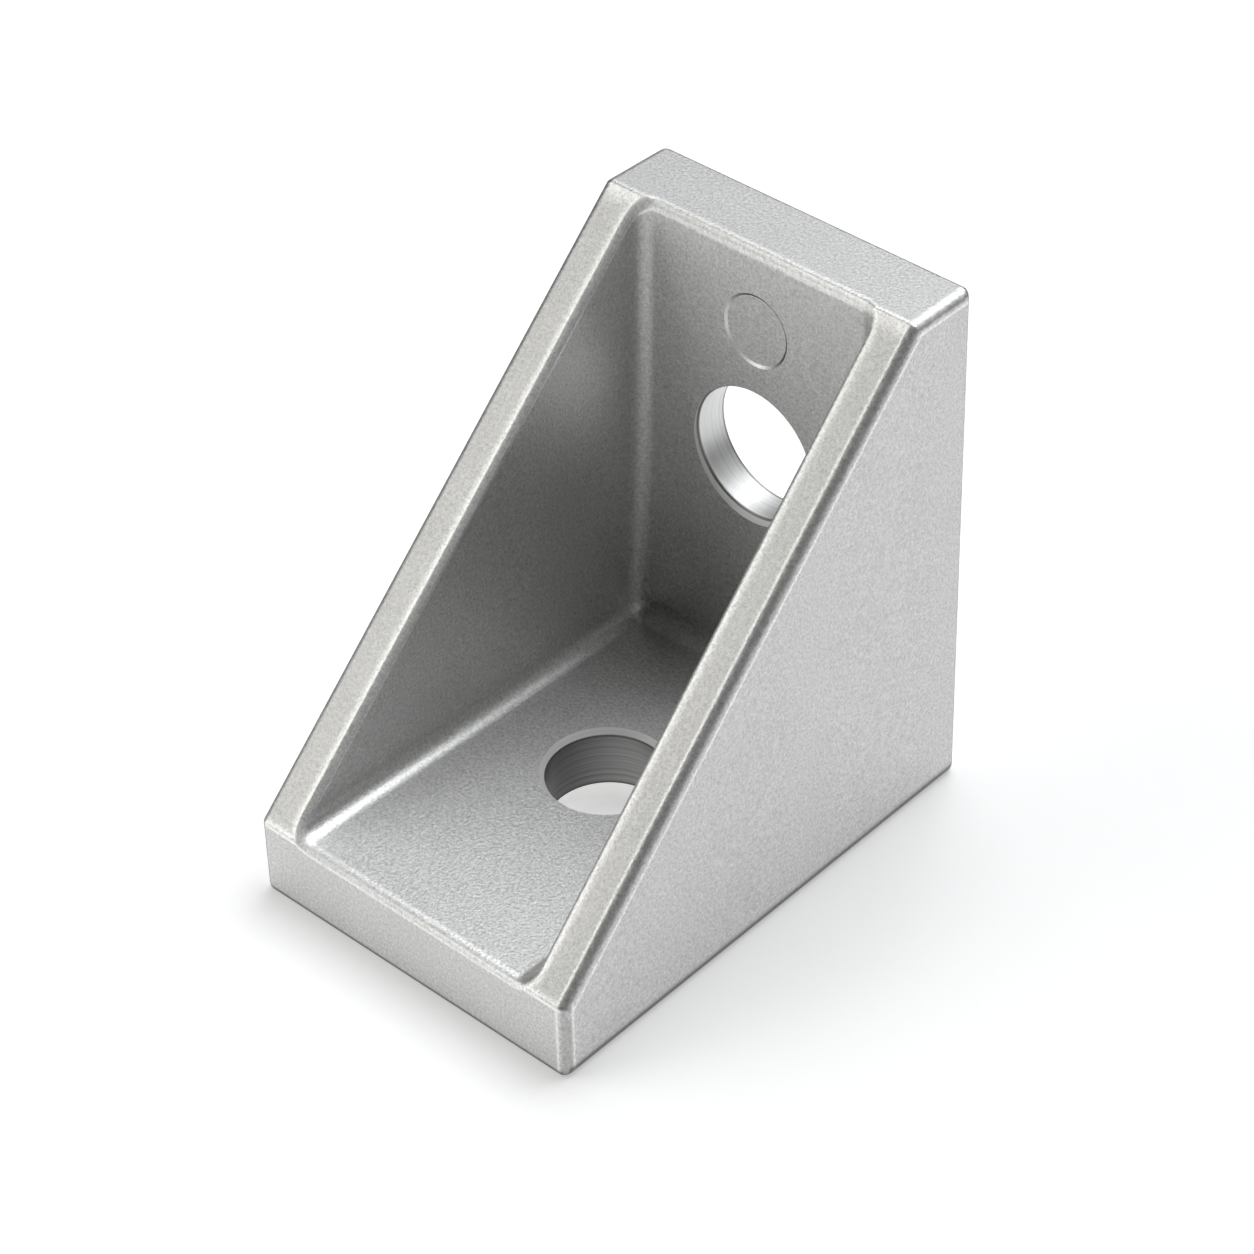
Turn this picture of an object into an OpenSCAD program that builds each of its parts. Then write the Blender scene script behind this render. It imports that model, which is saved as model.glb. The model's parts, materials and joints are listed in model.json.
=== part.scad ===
// Cast gusset bracket: a base plate and an upright joined by two sloping side walls, all one aluminium casting.
// Frame in millimetres: X across the bracket, Y from the toe (negative) to the back face (positive), Z up.
// The underside lies at Z = 0 and the bracket is centred on X = 0 and Y = 0.

/* [Overall] */
// Length of the base plate from the toe to the back face
base_length = 40; // [38:0.5:60]
// Height of the upright from the underside to the top face
height = 40; // [39:0.5:60]
// Width across the outer side faces at the toe
toe_width = 28; // [28:0.5:45]
// Draft of each side, in degrees, narrowing towards the back face
side_draft = 1; // [0:0.1:1.5]

/* [Plates and walls] */
// Thickness of the base plate, which is also the height of the toe
base_thickness = 6; // [5:0.1:8]
// Thickness of the upright at its top face
upright_thickness = 5.6; // [5:0.1:8]
// Lean of the upright's inner face, in degrees, thicker towards the base plate
face_lean = 2; // [0:0.1:2.5]
// Thickness of each side wall
wall_thickness = 3.3; // [2.5:0.1:4]
// Radius where the pocket's faces meet each other
pocket_fillet = 1.3; // [0.8:0.1:1.8]

/* [Edges] */
// Radius of the long outer edges of the two side faces
side_edge_radius = 0.75; // [0.4:0.05:0.9]
// Radius of the edges that run across the bracket
cross_edge_radius = 0.4; // [0.2:0.05:0.6]
// Radius of the inner edges along the two sloping rims
rim_radius = 0.45; // [0.2:0.05:0.6]

/* [Bores] */
// Diameter of the bore through the base plate
base_bore_diameter = 8.4; // [6.4:0.1:9]
// Distance of the base bore's axis from the toe
base_bore_from_toe = 18.9; // [18:0.1:20]
// Diameter of the bore through the upright
upright_bore_diameter = 10; // [6.4:0.1:10.4]
// Height of the upright bore above the underside
upright_bore_height = 24; // [23:0.1:25]
// Width of the chamfer at the inner mouth of each bore
bore_chamfer = 0.33; // [0.2:0.01:0.5]

/* [Reliefs] */
// Width of both cored reliefs
relief_width = 18; // [17:0.5:19]
// Length of the relief in the underside, centred on the base bore
base_relief_length = 20; // [18:0.5:22]
// Depth of the relief in the underside
base_relief_depth = 1.3; // [0.5:0.1:1.8]
// Height of the relief in the back face, centred on the upright bore
back_relief_height = 22; // [20:0.5:24]
// Depth of the relief in the back face
back_relief_depth = 3.4; // [1:0.1:3.4]
// Radius of the reliefs' corners
relief_corner = 2.5; // [1.5:0.1:4]

/* [Ejector mark] */
// Diameter of the round mark on the upright's inner face
mark_diameter = 5.3; // [4:0.1:5.6]
// Height of the mark above the underside
mark_height = 33.8; // [33.5:0.1:34.5]
// Depth of the mark
mark_depth = 0.12; // [0.05:0.01:0.2]

/* [Hidden] */
$fn = 96;
overrun = 1;            // how far a cutting shape runs past the face it cuts
rounding_fade = 2.5;    // length over which a rounded edge dies out before a corner of the pocket
front_y = -base_length / 2;
back_y = base_length / 2;
half_toe = toe_width / 2;
half_bore_base = base_bore_diameter / 2;
half_bore_upright = upright_bore_diameter / 2;
base_bore_y = front_y + base_bore_from_toe;
top_front_y = back_y - upright_thickness;
bar_reach = 2 * max(base_length, height);
casting_grey = [0.78, 0.78, 0.77];

// Half width of a tapered side at the length position y, moved in by inset
function half_at(y, inset) = half_toe - inset - tan(side_draft) * (y - front_y);

// Length position of the upright's leaning inner face at the height z
function inner_y(z) = top_front_y - tan(face_lean) * (height - z);

// A vector scaled to unit length
function unit(v) = v / norm(v);

// Outward directions of the flat faces, side being +1 for right and -1 for left
function side_out(side) = unit([side, tan(side_draft), 0]);
toe_out = [0, -1, 0];
back_out = [0, 1, 0];
top_out = [0, 0, 1];
slope_out = unit([0, -(height - base_thickness), top_front_y - front_y]);
// Outward directions of the pocket's own faces, seen from the middle of the pocket
pocket_floor_out = [0, 0, -1];
pocket_back_out = unit([0, 1, -tan(face_lean)]);

// The lower back corner of the pocket where its sharp faces would meet
floor_end_y = inner_y(base_thickness);
function pocket_corner(side) = [side * half_at(floor_end_y, wall_thickness), floor_end_y, base_thickness];
// The way the edge between a side wall and the upright runs, downwards
function post_down(side) = -side * unit(cross(side_out(side), pocket_back_out));
// Centre of the ball that touches all three faces of that corner
ball_z = base_thickness + pocket_fillet;
ball_y = inner_y(ball_z) - pocket_fillet / cos(face_lean);
function ball_centre(side) = [side * (half_at(ball_y, wall_thickness) - pocket_fillet / cos(side_draft)), ball_y, ball_z];

// Moves children so that their X, Y and Z axes become the three unit directions, at the given point
module placed(point, dir_x, dir_y, dir_z) {
    multmatrix([
        [dir_x[0], dir_y[0], dir_z[0], point[0]],
        [dir_x[1], dir_y[1], dir_z[1], point[1]],
        [dir_x[2], dir_y[2], dir_z[2], point[2]],
        [0, 0, 0, 1]])
        children();
}

// The sharp corner bar between two flat faces that meet at the point, which leaves a round edge once taken away.
// It runs to the given reach both ways and grows shallow over the length called fade at each end.
module edge_bar(point, out_a, out_b, radius, reach, fade = 0) {
    along = unit(cross(out_a, out_b));
    across = cross(along, out_a);
    half_turn = acos(out_a * out_b) / 2;
    turned = [cos(2 * half_turn), sin(2 * half_turn)];
    bisector = [cos(half_turn), sin(half_turn)] / cos(half_turn);
    cut_depth = radius / cos(half_turn) - radius;
    placed(point, out_a, across, along)
        intersection() {
            linear_extrude(height = 2 * reach, center = true)
                difference() {
                    polygon([
                        -radius * bisector,
                        -radius * bisector + (radius + overrun) * [1, 0],
                        overrun * bisector,
                        -radius * bisector + (radius + overrun) * turned]);
                    translate(-radius * bisector)
                        circle(r = radius);
                }
            if (fade > 0)
                rotate([0, 0, half_turn])
                    rotate([90, 0, 0])
                        linear_extrude(height = 4 * (radius + overrun), center = true)
                            polygon([
                                [2 * overrun, -reach - overrun],
                                [cut_depth * overrun / fade, -reach - overrun],
                                [-cut_depth, -reach + fade],
                                [-cut_depth, reach - fade],
                                [cut_depth * overrun / fade, reach + overrun],
                                [2 * overrun, reach + overrun]]);
        }
}

// Everything on the far side of a plane through the point, out to the given reach
module beyond(point, direction, reach) {
    helper = abs(direction[2]) > 0.9 ? [0, 1, 0] : [0, 0, 1];
    dir_x = unit(cross(helper, direction));
    placed(point, dir_x, cross(direction, dir_x), direction)
        translate([-reach, -reach, 0])
            cube([2 * reach, 2 * reach, reach]);
}

// A side profile given in the length and height plane, run across the bracket
module across_bracket(points) {
    rotate([90, 0, 90])
        linear_extrude(height = 2 * toe_width, center = true)
            polygon(points);
}

// A tapered plan between two length positions, run up through the bracket
module tapered_plan(from_y, to_y, inset) {
    translate([0, 0, -overrun])
        linear_extrude(height = height + 4 * overrun)
            polygon([
                [-half_at(from_y, inset), from_y],
                [half_at(from_y, inset), from_y],
                [half_at(to_y, inset), to_y],
                [-half_at(to_y, inset), to_y]]);
}

// The outer block with its sloping front and sharp edges
module block() {
    intersection() {
        across_bracket([
            [front_y, 0],
            [back_y, 0],
            [back_y, height],
            [top_front_y, height],
            [front_y, base_thickness]]);
        tapered_plan(front_y - overrun, back_y + overrun, 0);
    }
}

// The block with its outer edges rounded, one set of edges after another
module rounded_block() {
    difference() {
        difference() {
            difference() {
                difference() {
                    block();
                    cross_edge_bars();
                }
                corner_post_bars();
            }
            top_side_bars();
        }
        difference() {
            sloping_edge_bars();
            beyond([0, 0, height], top_out, bar_reach);
        }
    }
}

// The bars along the three outer edges that run across the bracket
module cross_edge_bars() {
    edge_bar([0, front_y, base_thickness], slope_out, toe_out, cross_edge_radius, bar_reach);
    edge_bar([0, top_front_y, height], top_out, slope_out, cross_edge_radius, bar_reach);
    edge_bar([0, back_y, height], top_out, back_out, cross_edge_radius, bar_reach);
}

// The bars along the four upright edges, at the toe and at the back face
module corner_post_bars() {
    for (side = [-1, 1]) {
        edge_bar([side * half_at(front_y, 0), front_y, base_thickness], side_out(side), toe_out, side_edge_radius, bar_reach);
        edge_bar([side * half_at(back_y, 0), back_y, height], side_out(side), back_out, side_edge_radius, bar_reach);
    }
}

// The bars along the outer edges of the two sloping rims
module sloping_edge_bars() {
    for (side = [-1, 1])
        edge_bar([side * half_at(front_y, 0), front_y, base_thickness], side_out(side), slope_out, side_edge_radius, bar_reach);
}

// The bars along the two side edges of the top face
module top_side_bars() {
    for (side = [-1, 1])
        edge_bar([side * half_at(back_y, 0), back_y, height], side_out(side), top_out, side_edge_radius, bar_reach);
}

// The open space between the walls, with round inner edges and a ball in each lower back corner
module pocket() {
    difference() {
        difference() {
            difference() {
                difference() {
                    sharp_pocket();
                    for (side = [-1, 1])
                        corner_space(side);
                }
                for (side = [-1, 1])
                    edge_bar(pocket_corner(side), side_out(side), pocket_back_out, pocket_fillet, bar_reach);
            }
            for (side = [-1, 1])
                edge_bar(pocket_corner(side), side_out(side), pocket_floor_out, pocket_fillet, bar_reach);
        }
        edge_bar([0, floor_end_y, base_thickness], pocket_back_out, pocket_floor_out, pocket_fillet, bar_reach);
    }
    for (side = [-1, 1])
        intersection() {
            corner_space(side);
            translate(ball_centre(side))
                sphere(r = pocket_fillet);
        }
}

// The pocket with sharp inner corners
module sharp_pocket() {
    intersection() {
        across_bracket([
            [front_y - overrun, base_thickness],
            [floor_end_y, base_thickness],
            [inner_y(height + overrun), height + overrun],
            [front_y - overrun, height + overrun]]);
        tapered_plan(front_y - 2 * overrun, back_y, wall_thickness);
    }
}

// The space past the ball's centre, along all three edges that meet in a lower back corner of the pocket
module corner_space(side) {
    intersection() {
        beyond(ball_centre(side), unit([-side * tan(side_draft), 1, 0]), 2 * pocket_fillet);
        beyond(ball_centre(side), post_down(side), 2 * pocket_fillet);
        beyond(ball_centre(side), [side, 0, 0], 2 * pocket_fillet);
    }
}

// The bars that round the pocket's two cross edges, the floor at the toe and the upright at its top
module mouth_cross_bars() {
    edge_bar([0, front_y, base_thickness], top_out, toe_out, cross_edge_radius,
        half_at(front_y, wall_thickness) - pocket_fillet, rounding_fade);
    edge_bar([0, top_front_y, height], top_out, -pocket_back_out, cross_edge_radius,
        half_at(top_front_y, wall_thickness) - pocket_fillet, rounding_fade);
}

// The bars that round the inner edges of the two sloping rims, between the pocket's round corners
module rim_bars() {
    for (side = [-1, 1]) {
        lower = [side * half_at(front_y, wall_thickness), front_y, base_thickness];
        upper = [side * half_at(top_front_y, wall_thickness), top_front_y, height];
        edge_bar((lower + upper) / 2, slope_out, -side_out(side), rim_radius,
            norm(upper - lower) / 2 - 2 * pocket_fillet, rounding_fade);
    }
}

// The cone that chamfers a bore's mouth, opening along Z with the mouth at Z = 0
module mouth_cone(radius) {
    translate([0, 0, -bore_chamfer - overrun])
        cylinder(h = bore_chamfer + 2 * overrun, r1 = radius - overrun, r2 = radius + bore_chamfer + overrun);
}

// The bore through the base plate, chamfered at the floor of the pocket
module base_bore() {
    translate([0, base_bore_y, -overrun])
        cylinder(h = base_thickness + 2 * overrun, r = half_bore_base);
    translate([0, base_bore_y, base_thickness])
        mouth_cone(half_bore_base);
}

// The bore through the upright, chamfered square to the leaning inner face
module upright_bore() {
    translate([0, inner_y(upright_bore_height), upright_bore_height]) {
        rotate([-90, 0, 0])
            translate([0, 0, -2 * overrun])
                cylinder(h = base_length, r = half_bore_upright);
        rotate([90 - face_lean, 0, 0])
            mouth_cone(half_bore_upright);
    }
}

// A rectangle with round corners, centred
module round_rectangle(size_x, size_y) {
    square([size_x - 2 * relief_corner, size_y], center = true);
    square([size_x, size_y - 2 * relief_corner], center = true);
    for (x = [-1, 1])
        for (y = [-1, 1])
            translate([x * (size_x / 2 - relief_corner), y * (size_y / 2 - relief_corner)])
                circle(r = relief_corner);
}

// The cored reliefs in the underside and in the back face
module reliefs() {
    translate([0, base_bore_y, -overrun])
        linear_extrude(height = base_relief_depth + overrun)
            round_rectangle(relief_width, base_relief_length);
    translate([0, back_y + overrun, upright_bore_height])
        rotate([90, 0, 0])
            linear_extrude(height = back_relief_depth + overrun)
                round_rectangle(relief_width, back_relief_height);
}

// The shallow round mark that an ejector pin leaves on the upright's inner face
module ejector_mark() {
    translate([0, inner_y(mark_height), mark_height])
        rotate([90 - face_lean, 0, 0])
            translate([0, 0, -mark_depth])
                cylinder(h = mark_depth + overrun, r = mark_diameter / 2);
}

// The whole casting
module bracket() {
    color(casting_grey)
        difference() {
            difference() {
                difference() {
                    rounded_block();
                    pocket();
                }
                mouth_cross_bars();
            }
            rim_bars();
            base_bore();
            upright_bore();
            reliefs();
            ejector_mark();
        }
}

bracket();
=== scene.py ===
"""Dresses a cast aluminium gusset bracket and sets the camera, the floor and the studio light round it."""
import json
import logging
import math
from dataclasses import dataclass
from enum import Enum
from typing import Iterable, Sequence

import bmesh
import bpy
import numpy as np
from mathutils import Matrix, Vector


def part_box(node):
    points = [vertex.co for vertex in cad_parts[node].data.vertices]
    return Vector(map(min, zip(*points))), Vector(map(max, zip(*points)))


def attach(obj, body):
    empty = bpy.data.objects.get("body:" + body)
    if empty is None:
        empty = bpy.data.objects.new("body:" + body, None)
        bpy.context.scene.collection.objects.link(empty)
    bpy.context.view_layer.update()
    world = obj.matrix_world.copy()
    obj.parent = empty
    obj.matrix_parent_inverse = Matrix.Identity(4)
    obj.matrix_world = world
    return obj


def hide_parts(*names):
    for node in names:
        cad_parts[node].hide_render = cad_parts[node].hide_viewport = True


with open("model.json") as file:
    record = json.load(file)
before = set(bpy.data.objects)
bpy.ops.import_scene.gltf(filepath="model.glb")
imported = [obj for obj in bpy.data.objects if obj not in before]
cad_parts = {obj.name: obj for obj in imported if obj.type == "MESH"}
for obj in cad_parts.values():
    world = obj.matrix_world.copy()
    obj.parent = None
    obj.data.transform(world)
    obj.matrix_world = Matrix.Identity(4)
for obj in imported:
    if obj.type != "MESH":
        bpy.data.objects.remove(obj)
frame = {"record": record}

LOG = logging.getLogger("bracket_scene")
MM = 0.001
PHOTO_SIDE = 1254
Point = tuple[float, float, float]
Colour = tuple[float, float, float]
Array = np.ndarray
Socket = bpy.types.NodeSocket


def link(name: str, mesh: bpy.types.Mesh) -> bpy.types.Object:
    """Puts a mesh into the scene as an object that stands at the origin."""
    thing = bpy.data.objects.new(name, mesh)
    bpy.context.scene.collection.objects.link(thing)
    return thing


def mesh_from_faces(name: str, points: Sequence[Point], faces: Sequence[Sequence[int]]) -> bpy.types.Mesh:
    """Makes a closed mesh whose faces all point outwards.

    Args:
        name: The name of the new mesh.
        points: The corners.
        faces: The corner numbers of each face, in either direction.

    Returns:
        The mesh.
    """
    mesh = bpy.data.meshes.new(name)
    mesh.from_pydata([tuple(point) for point in points], [], [tuple(face) for face in faces])
    work = bmesh.new()
    work.from_mesh(mesh)
    bmesh.ops.recalc_face_normals(work, faces=work.faces)
    work.to_mesh(mesh)
    work.free()
    return mesh


def loft(name: str, rings: Sequence[Sequence[Point]]) -> bpy.types.Object:
    """Makes a closed solid through rings of equally many points.

    Args:
        name: The name of the new object.
        rings: The rings from one end of the solid to the other.

    Returns:
        The solid.
    """
    count = len(rings[0])
    points = [point for ring in rings for point in ring]
    faces: list[list[int]] = [list(range(count)), list(range(len(points) - count, len(points)))]
    for start in range(0, len(points) - count, count):
        for index in range(count):
            here, following = start + index, start + (index + 1) % count
            faces.append([here, following, count + following, count + here])
    return link(name, mesh_from_faces(name, points, faces))


def stand(tool: bpy.types.Object, place: Vector, turn: Matrix) -> bpy.types.Object:
    """Turns a mesh and moves it to its place, while its object stays at the origin."""
    tool.data.transform(Matrix.Translation(place) @ turn.to_4x4())
    return tool


def corner_places(mesh: bpy.types.Mesh) -> Array:
    """The places of a mesh's corners, one row each."""
    flat = np.empty(len(mesh.vertices) * 3, dtype=np.float32)
    mesh.vertices.foreach_get("co", flat)
    return flat.reshape(-1, 3).astype(float)


def weigh_edges(mesh: bpy.types.Mesh, weights: Sequence[float]) -> None:
    """Gives every edge its share of the widest rounding, from 0 to 1."""
    layer = mesh.attributes.new("bevel_weight_edge", "FLOAT", "EDGE")
    layer.data.foreach_set("value", list(weights))


def settled(thing: bpy.types.Object) -> bpy.types.Object:
    """Turns an object's modifiers into plain mesh."""
    graph = bpy.context.evaluated_depsgraph_get()
    mesh = bpy.data.meshes.new_from_object(thing.evaluated_get(graph))
    thing.modifiers.clear()
    thing.data = mesh
    return thing


def carve(body: bpy.types.Object, cutters: Iterable[bpy.types.Object]) -> bpy.types.Object:
    """Cuts each of the cutters out of the body and removes them.

    Args:
        body: The solid that is cut.
        cutters: Closed solids, each cut in turn.

    Returns:
        The body, with the cuts in its mesh.
    """
    for cutter in cutters:
        cut = body.modifiers.new("cut", "BOOLEAN")
        cut.operation = "DIFFERENCE"
        cut.solver = "EXACT"
        cut.object = cutter
        cut.material_mode = "TRANSFER"
        settled(body)
        bpy.data.objects.remove(cutter)
    return body


def slice_mesh(
    work: bmesh.types.BMesh, point: Vector, across: Vector, within: tuple[Vector, Vector] | None = None
) -> None:
    """Adds a line of edges where a plane crosses the mesh.

    Args:
        work: The mesh.
        point: A point of the plane.
        across: The plane's direction.
        within: The lowest and highest corner of the region to cut in, or None for the whole mesh.
    """
    faces = list(work.faces)
    if within is not None:
        low, high = within
        middles = ((face, face.calc_center_median()) for face in faces)
        faces = [face for face, at in middles if all(low[i] < at[i] < high[i] for i in range(3))]
    edges = {edge for face in faces for edge in face.edges}
    corners = {corner for face in faces for corner in face.verts}
    geometry = [*faces, *edges, *corners]
    bmesh.ops.bisect_plane(work, geom=geometry, dist=1e-8, plane_co=point, plane_no=across)


def split_large_faces(mesh: bpy.types.Mesh) -> None:
    """Splits every face of more than four corners into triangles."""
    work = bmesh.new()
    work.from_mesh(mesh)
    large = [face for face in work.faces if len(face.verts) > 4]
    bmesh.ops.triangulate(work, faces=large, quad_method="BEAUTY", ngon_method="BEAUTY")
    work.to_mesh(mesh)
    work.free()


def shade_corners(mesh: bpy.types.Mesh, true_normals: Array, crease: float = math.radians(22)) -> None:
    """Sets the shading direction of every face corner.

    Args:
        mesh: The mesh.
        true_normals: The exact direction at each vertex, or a row of zeros where none is known.
        crease: Faces that meet at more than this angle keep a sharp edge between them.
    """
    limit = math.cos(crease)
    owners: list[list[tuple[int, int]]] = [[] for _ in mesh.vertices]
    for face in mesh.polygons:
        for loop in face.loop_indices:
            owners[mesh.loops[loop].vertex_index].append((loop, face.index))
    ways = np.array([face.normal for face in mesh.polygons])
    areas = np.array([face.area for face in mesh.polygons])
    result = np.zeros((len(mesh.loops), 3))
    for vertex, corners in enumerate(owners):
        faces = [face for _, face in corners]
        alike = ways[faces] @ ways[faces].T > limit
        mixed = (alike * areas[faces]) @ ways[faces]
        exact = true_normals[vertex]
        for row, (loop, face) in enumerate(corners):
            result[loop] = exact if ways[face] @ exact > limit else mixed[row]
    result /= np.maximum(np.linalg.norm(result, axis=1), 1e-12)[:, None]
    mesh.shade_smooth()
    mesh.normals_split_custom_set([tuple(row) for row in result])


def round_meet(a: Array, b: Array, radius: float, cosine: float = 0.0) -> Array:
    """Joins two depth fields with a round edge, like a fillet of one radius at every depth.

    Args:
        a: Height above the first face at each point, negative inside the metal.
        b: Height above the second face.
        radius: Radius of the edge.
        cosine: Cosine of the angle between the two outward directions.

    Returns:
        Height above the joined surface.
    """
    gap = np.abs(a - b)
    spread = np.minimum(gap, radius * (1 - cosine)) ** 2 / (2 * (1 - cosine))
    arc = (a + b) / 2 + radius - np.sqrt((1 + cosine) / 2 * (radius**2 - spread))
    return np.where(gap < radius * (1 - cosine), arc, np.maximum(a, b))


@dataclass(frozen=True)
class EdgeLightPaint:
    """Painted light and shade on one round edge between two faces: the faces' height fields, then the shares
    from 0 to 1.

    line is a painted highlight line at both sides of the rounding, band the painted highlight between them and
    spill the painted sheen on the face beside it. The shade share is a painted dark band, its spill the painted
    shade beside the edge, and the matte share a band of painted highlight where the metal turns matte.
    """

    first: Array
    second: Array
    radius: float
    cosine: float = 0.0
    line: float = 0.0
    band: float = 0.0
    spill: float = 0.0
    spill_width: float = 0.3 * MM
    spill_on_first: bool = True
    painted_shade: float = 0.0
    shade_start: float = 0.14
    shade_fade: float = 0.2
    shade_spill: float = 0.0
    matte_highlight: float = 0.0
    line_width: float = 0.1 * MM

    @property
    def span(self) -> float:
        """Half the range of height differences that the rounding covers."""
        return self.radius * (1 - self.cosine)

    def near(self) -> Array:
        """Tells for each point whether it lies on this edge or on its two faces."""
        return np.abs(round_meet(self.first, self.second, self.radius, self.cosine)) < self.line_width

    def across(self) -> Array:
        """Where each point lies across the rounding, from 0 at the first face to 1 at the second."""
        return (self.second - self.first + self.span) / (2 * self.span)

    def inside(self) -> Array:
        """1 over the middle half of the rounding, fading to 0 at both its sides."""
        return np.clip(4 * np.minimum(self.across(), 1 - self.across()), 0, 1)

    def beside(self) -> Array:
        """How far each point lies from the rounding, over its faces."""
        return (np.abs(self.first - self.second) - self.span) / math.sqrt(1 - self.cosine**2)

    def highlight_paint(self) -> Array:
        """The painted highlight lines, the painted highlight band between them and the painted sheen beside it.
        """
        beside = self.beside()
        lines = self.line * np.exp(-((beside / self.line_width) ** 2))
        chosen = ((self.first > self.second) == self.spill_on_first) & (beside > 0)
        spilled = self.spill * chosen * np.exp(-((beside / self.spill_width) ** 2))
        return self.near() * np.maximum(np.maximum(lines, spilled), self.band * self.inside())

    def matte_highlight_band(self) -> Array:
        """The band of painted highlight inside the rounding, where the metal turns matte white."""
        return self.near() * self.matte_highlight * self.inside()

    def shade_band(self) -> Array:
        """The band of painted shade inside the rounding and its fading painted shade beside it."""
        across = self.across()
        rising = np.clip((across - self.shade_start) / self.shade_fade, 0, 1)
        falling = np.clip((1 - across) / self.shade_fade, 0, 1)
        spilled = self.shade_spill * np.exp(-((np.maximum(self.beside(), 0) / self.line_width) ** 2))
        return self.near() * np.maximum(self.painted_shade * np.minimum(rising, falling), spilled)


@dataclass
class GussetCasting:
    """The one-piece casting: base plate, upright and two sloping walls round an open pocket."""

    length: float
    height: float
    toe_width: float = 28.0 * MM
    side_draft: float = math.radians(1.0)
    base_thickness: float = 6.0 * MM
    upright_thickness: float = 5.6 * MM
    face_lean: float = math.radians(2.0)
    wall_thickness: float = 3.3 * MM
    pocket_fillet: float = 1.3 * MM
    side_edge: float = 0.75 * MM
    cross_edge: float = 0.4 * MM
    rim_edge: float = 0.45 * MM
    row_gap: float = 0.1 * MM
    highlight_reach: float = 0.8
    surface_reach: float = 0.001 * MM
    scaffold_gap: float = 0.02 * MM
    overrun: float = 4.0 * MM
    edge_steps: int = 4
    fillet_steps: int = 12
    corner_cell: float = 0.15 * MM

    @property
    def front(self) -> float:
        """Length position of the toe's face."""
        return -self.length / 2

    @property
    def back(self) -> float:
        """Length position of the back face."""
        return self.length / 2

    def half_width(self, y: float | Array, inset: float = 0.0) -> float | Array:
        """Half the width at a length position, moved in by an inset."""
        return self.toe_width / 2 - inset - math.tan(self.side_draft) * (y - self.front)

    def inner_face(self, z: float | Array) -> float | Array:
        """Length position of the upright's leaning inner face at a height."""
        return self.back - self.upright_thickness - math.tan(self.face_lean) * (self.height - z)

    @property
    def slope_out(self) -> Array:
        """Outward direction of the sloping rims."""
        run = self.inner_face(self.height) - self.front
        rise = self.height - self.base_thickness
        return np.array([0.0, -rise, run]) / math.hypot(rise, run)

    def above_slope(self, points: Array) -> Array:
        """Height of points above the plane of the two sloping rims."""
        return (points - np.array([0.0, self.front, self.base_thickness])) @ self.slope_out

    def above_side(self, points: Array, hand: int) -> Array:
        """Height of points above the left side face, hand -1, or the right one, hand 1."""
        return (hand * points[:, 0] - self.half_width(points[:, 1])) * math.cos(self.side_draft)

    def outer_profile(self, points: Array, radius: float) -> Array:
        """Height above the outer faces that run across the bracket, with round edges between them."""
        toe = self.front - points[:, 1]
        slope = self.above_slope(points)
        top = points[:, 2] - self.height
        back = points[:, 1] - self.back
        joined = round_meet(toe, slope, radius, -self.slope_out[1])
        joined = round_meet(joined, top, radius, self.slope_out[2])
        joined = round_meet(joined, back, radius)
        return round_meet(joined, -points[:, 2], radius)

    def above_block(self, points: Array) -> Array:
        """Height above the whole outside, as if there were no pocket."""
        joined = self.outer_profile(points, self.cross_edge)
        for hand in (-1, 1):
            joined = round_meet(joined, self.above_side(points, hand), self.side_edge)
        return joined

    def outside_pocket(self, points: Array) -> Array:
        """Distance of points from the pocket's hollow, negative within it."""
        x, y, z = points.T
        wall = self.half_width(y, self.wall_thickness)
        faces = np.stack([
            self.base_thickness - z,
            (y - self.inner_face(z)) * math.cos(self.face_lean),
            (x - wall) * math.cos(self.side_draft),
            (-x - wall) * math.cos(self.side_draft),
        ]) + self.pocket_fillet
        beyond = np.linalg.norm(np.maximum(faces, 0.0), axis=0)
        return beyond + np.minimum(faces.max(axis=0), 0.0) - self.pocket_fillet

    def above_metal(self, points: Array) -> Array:
        """Height above the finished casting before its bores and reliefs, negative inside the metal."""
        return round_meet(self.above_block(points), -self.outside_pocket(points), self.rim_edge)

    def outward(self, points: Array, step: float = 1e-7) -> Array:
        """The uphill direction of above_metal at each point, not scaled to unit length."""
        columns = []
        for axis in range(3):
            shift = np.zeros(3)
            shift[axis] = step
            columns.append((self.above_metal(points + shift) - self.above_metal(points - shift)) / (2 * step))
        return np.stack(columns, axis=1)

    def sharp_block(self) -> bpy.types.Object:
        """The outside with sharp edges, as a five-sided outline between two tapered side faces."""
        outline = [
            (self.front, 0.0),
            (self.front, self.base_thickness),
            (self.inner_face(self.height), self.height),
            (self.back, self.height),
            (self.back, 0.0),
        ]
        ends = [[(side * self.half_width(y), y, z) for y, z in outline] for side in (-1, 1)]
        return loft("bracket_casting", ends)

    def pocket_core(self) -> bpy.types.Object:
        """The solid that fills the pocket and stands out of its mouth, with its buried edges rounded."""
        gap = self.scaffold_gap
        floor = self.base_thickness - gap
        near = self.front - self.overrun
        corners = []
        for z in (floor, self.height + self.overrun):
            for y in (near, self.inner_face(z) + gap):
                for side in (-1, 1):
                    corners.append((side * (self.half_width(y, self.wall_thickness) + gap), y, z))
        faces = [(0, 1, 3, 2), (4, 5, 7, 6), (0, 1, 5, 4), (2, 3, 7, 6), (0, 2, 6, 4), (1, 3, 7, 5)]
        core = link("pocket_core", mesh_from_faces("pocket_core", corners, faces))
        buried = {(0, 2), (1, 3), (2, 3), (2, 6), (3, 7)}
        weigh_edges(core.data, [float(tuple(sorted(edge.vertices)) in buried) for edge in core.data.edges])
        rounding = core.modifiers.new("fillet", "BEVEL")
        rounding.limit_method = "WEIGHT"
        rounding.width = self.pocket_fillet + gap
        rounding.segments = self.fillet_steps
        rounding.use_clamp_overlap = False
        return settled(core)

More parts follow.
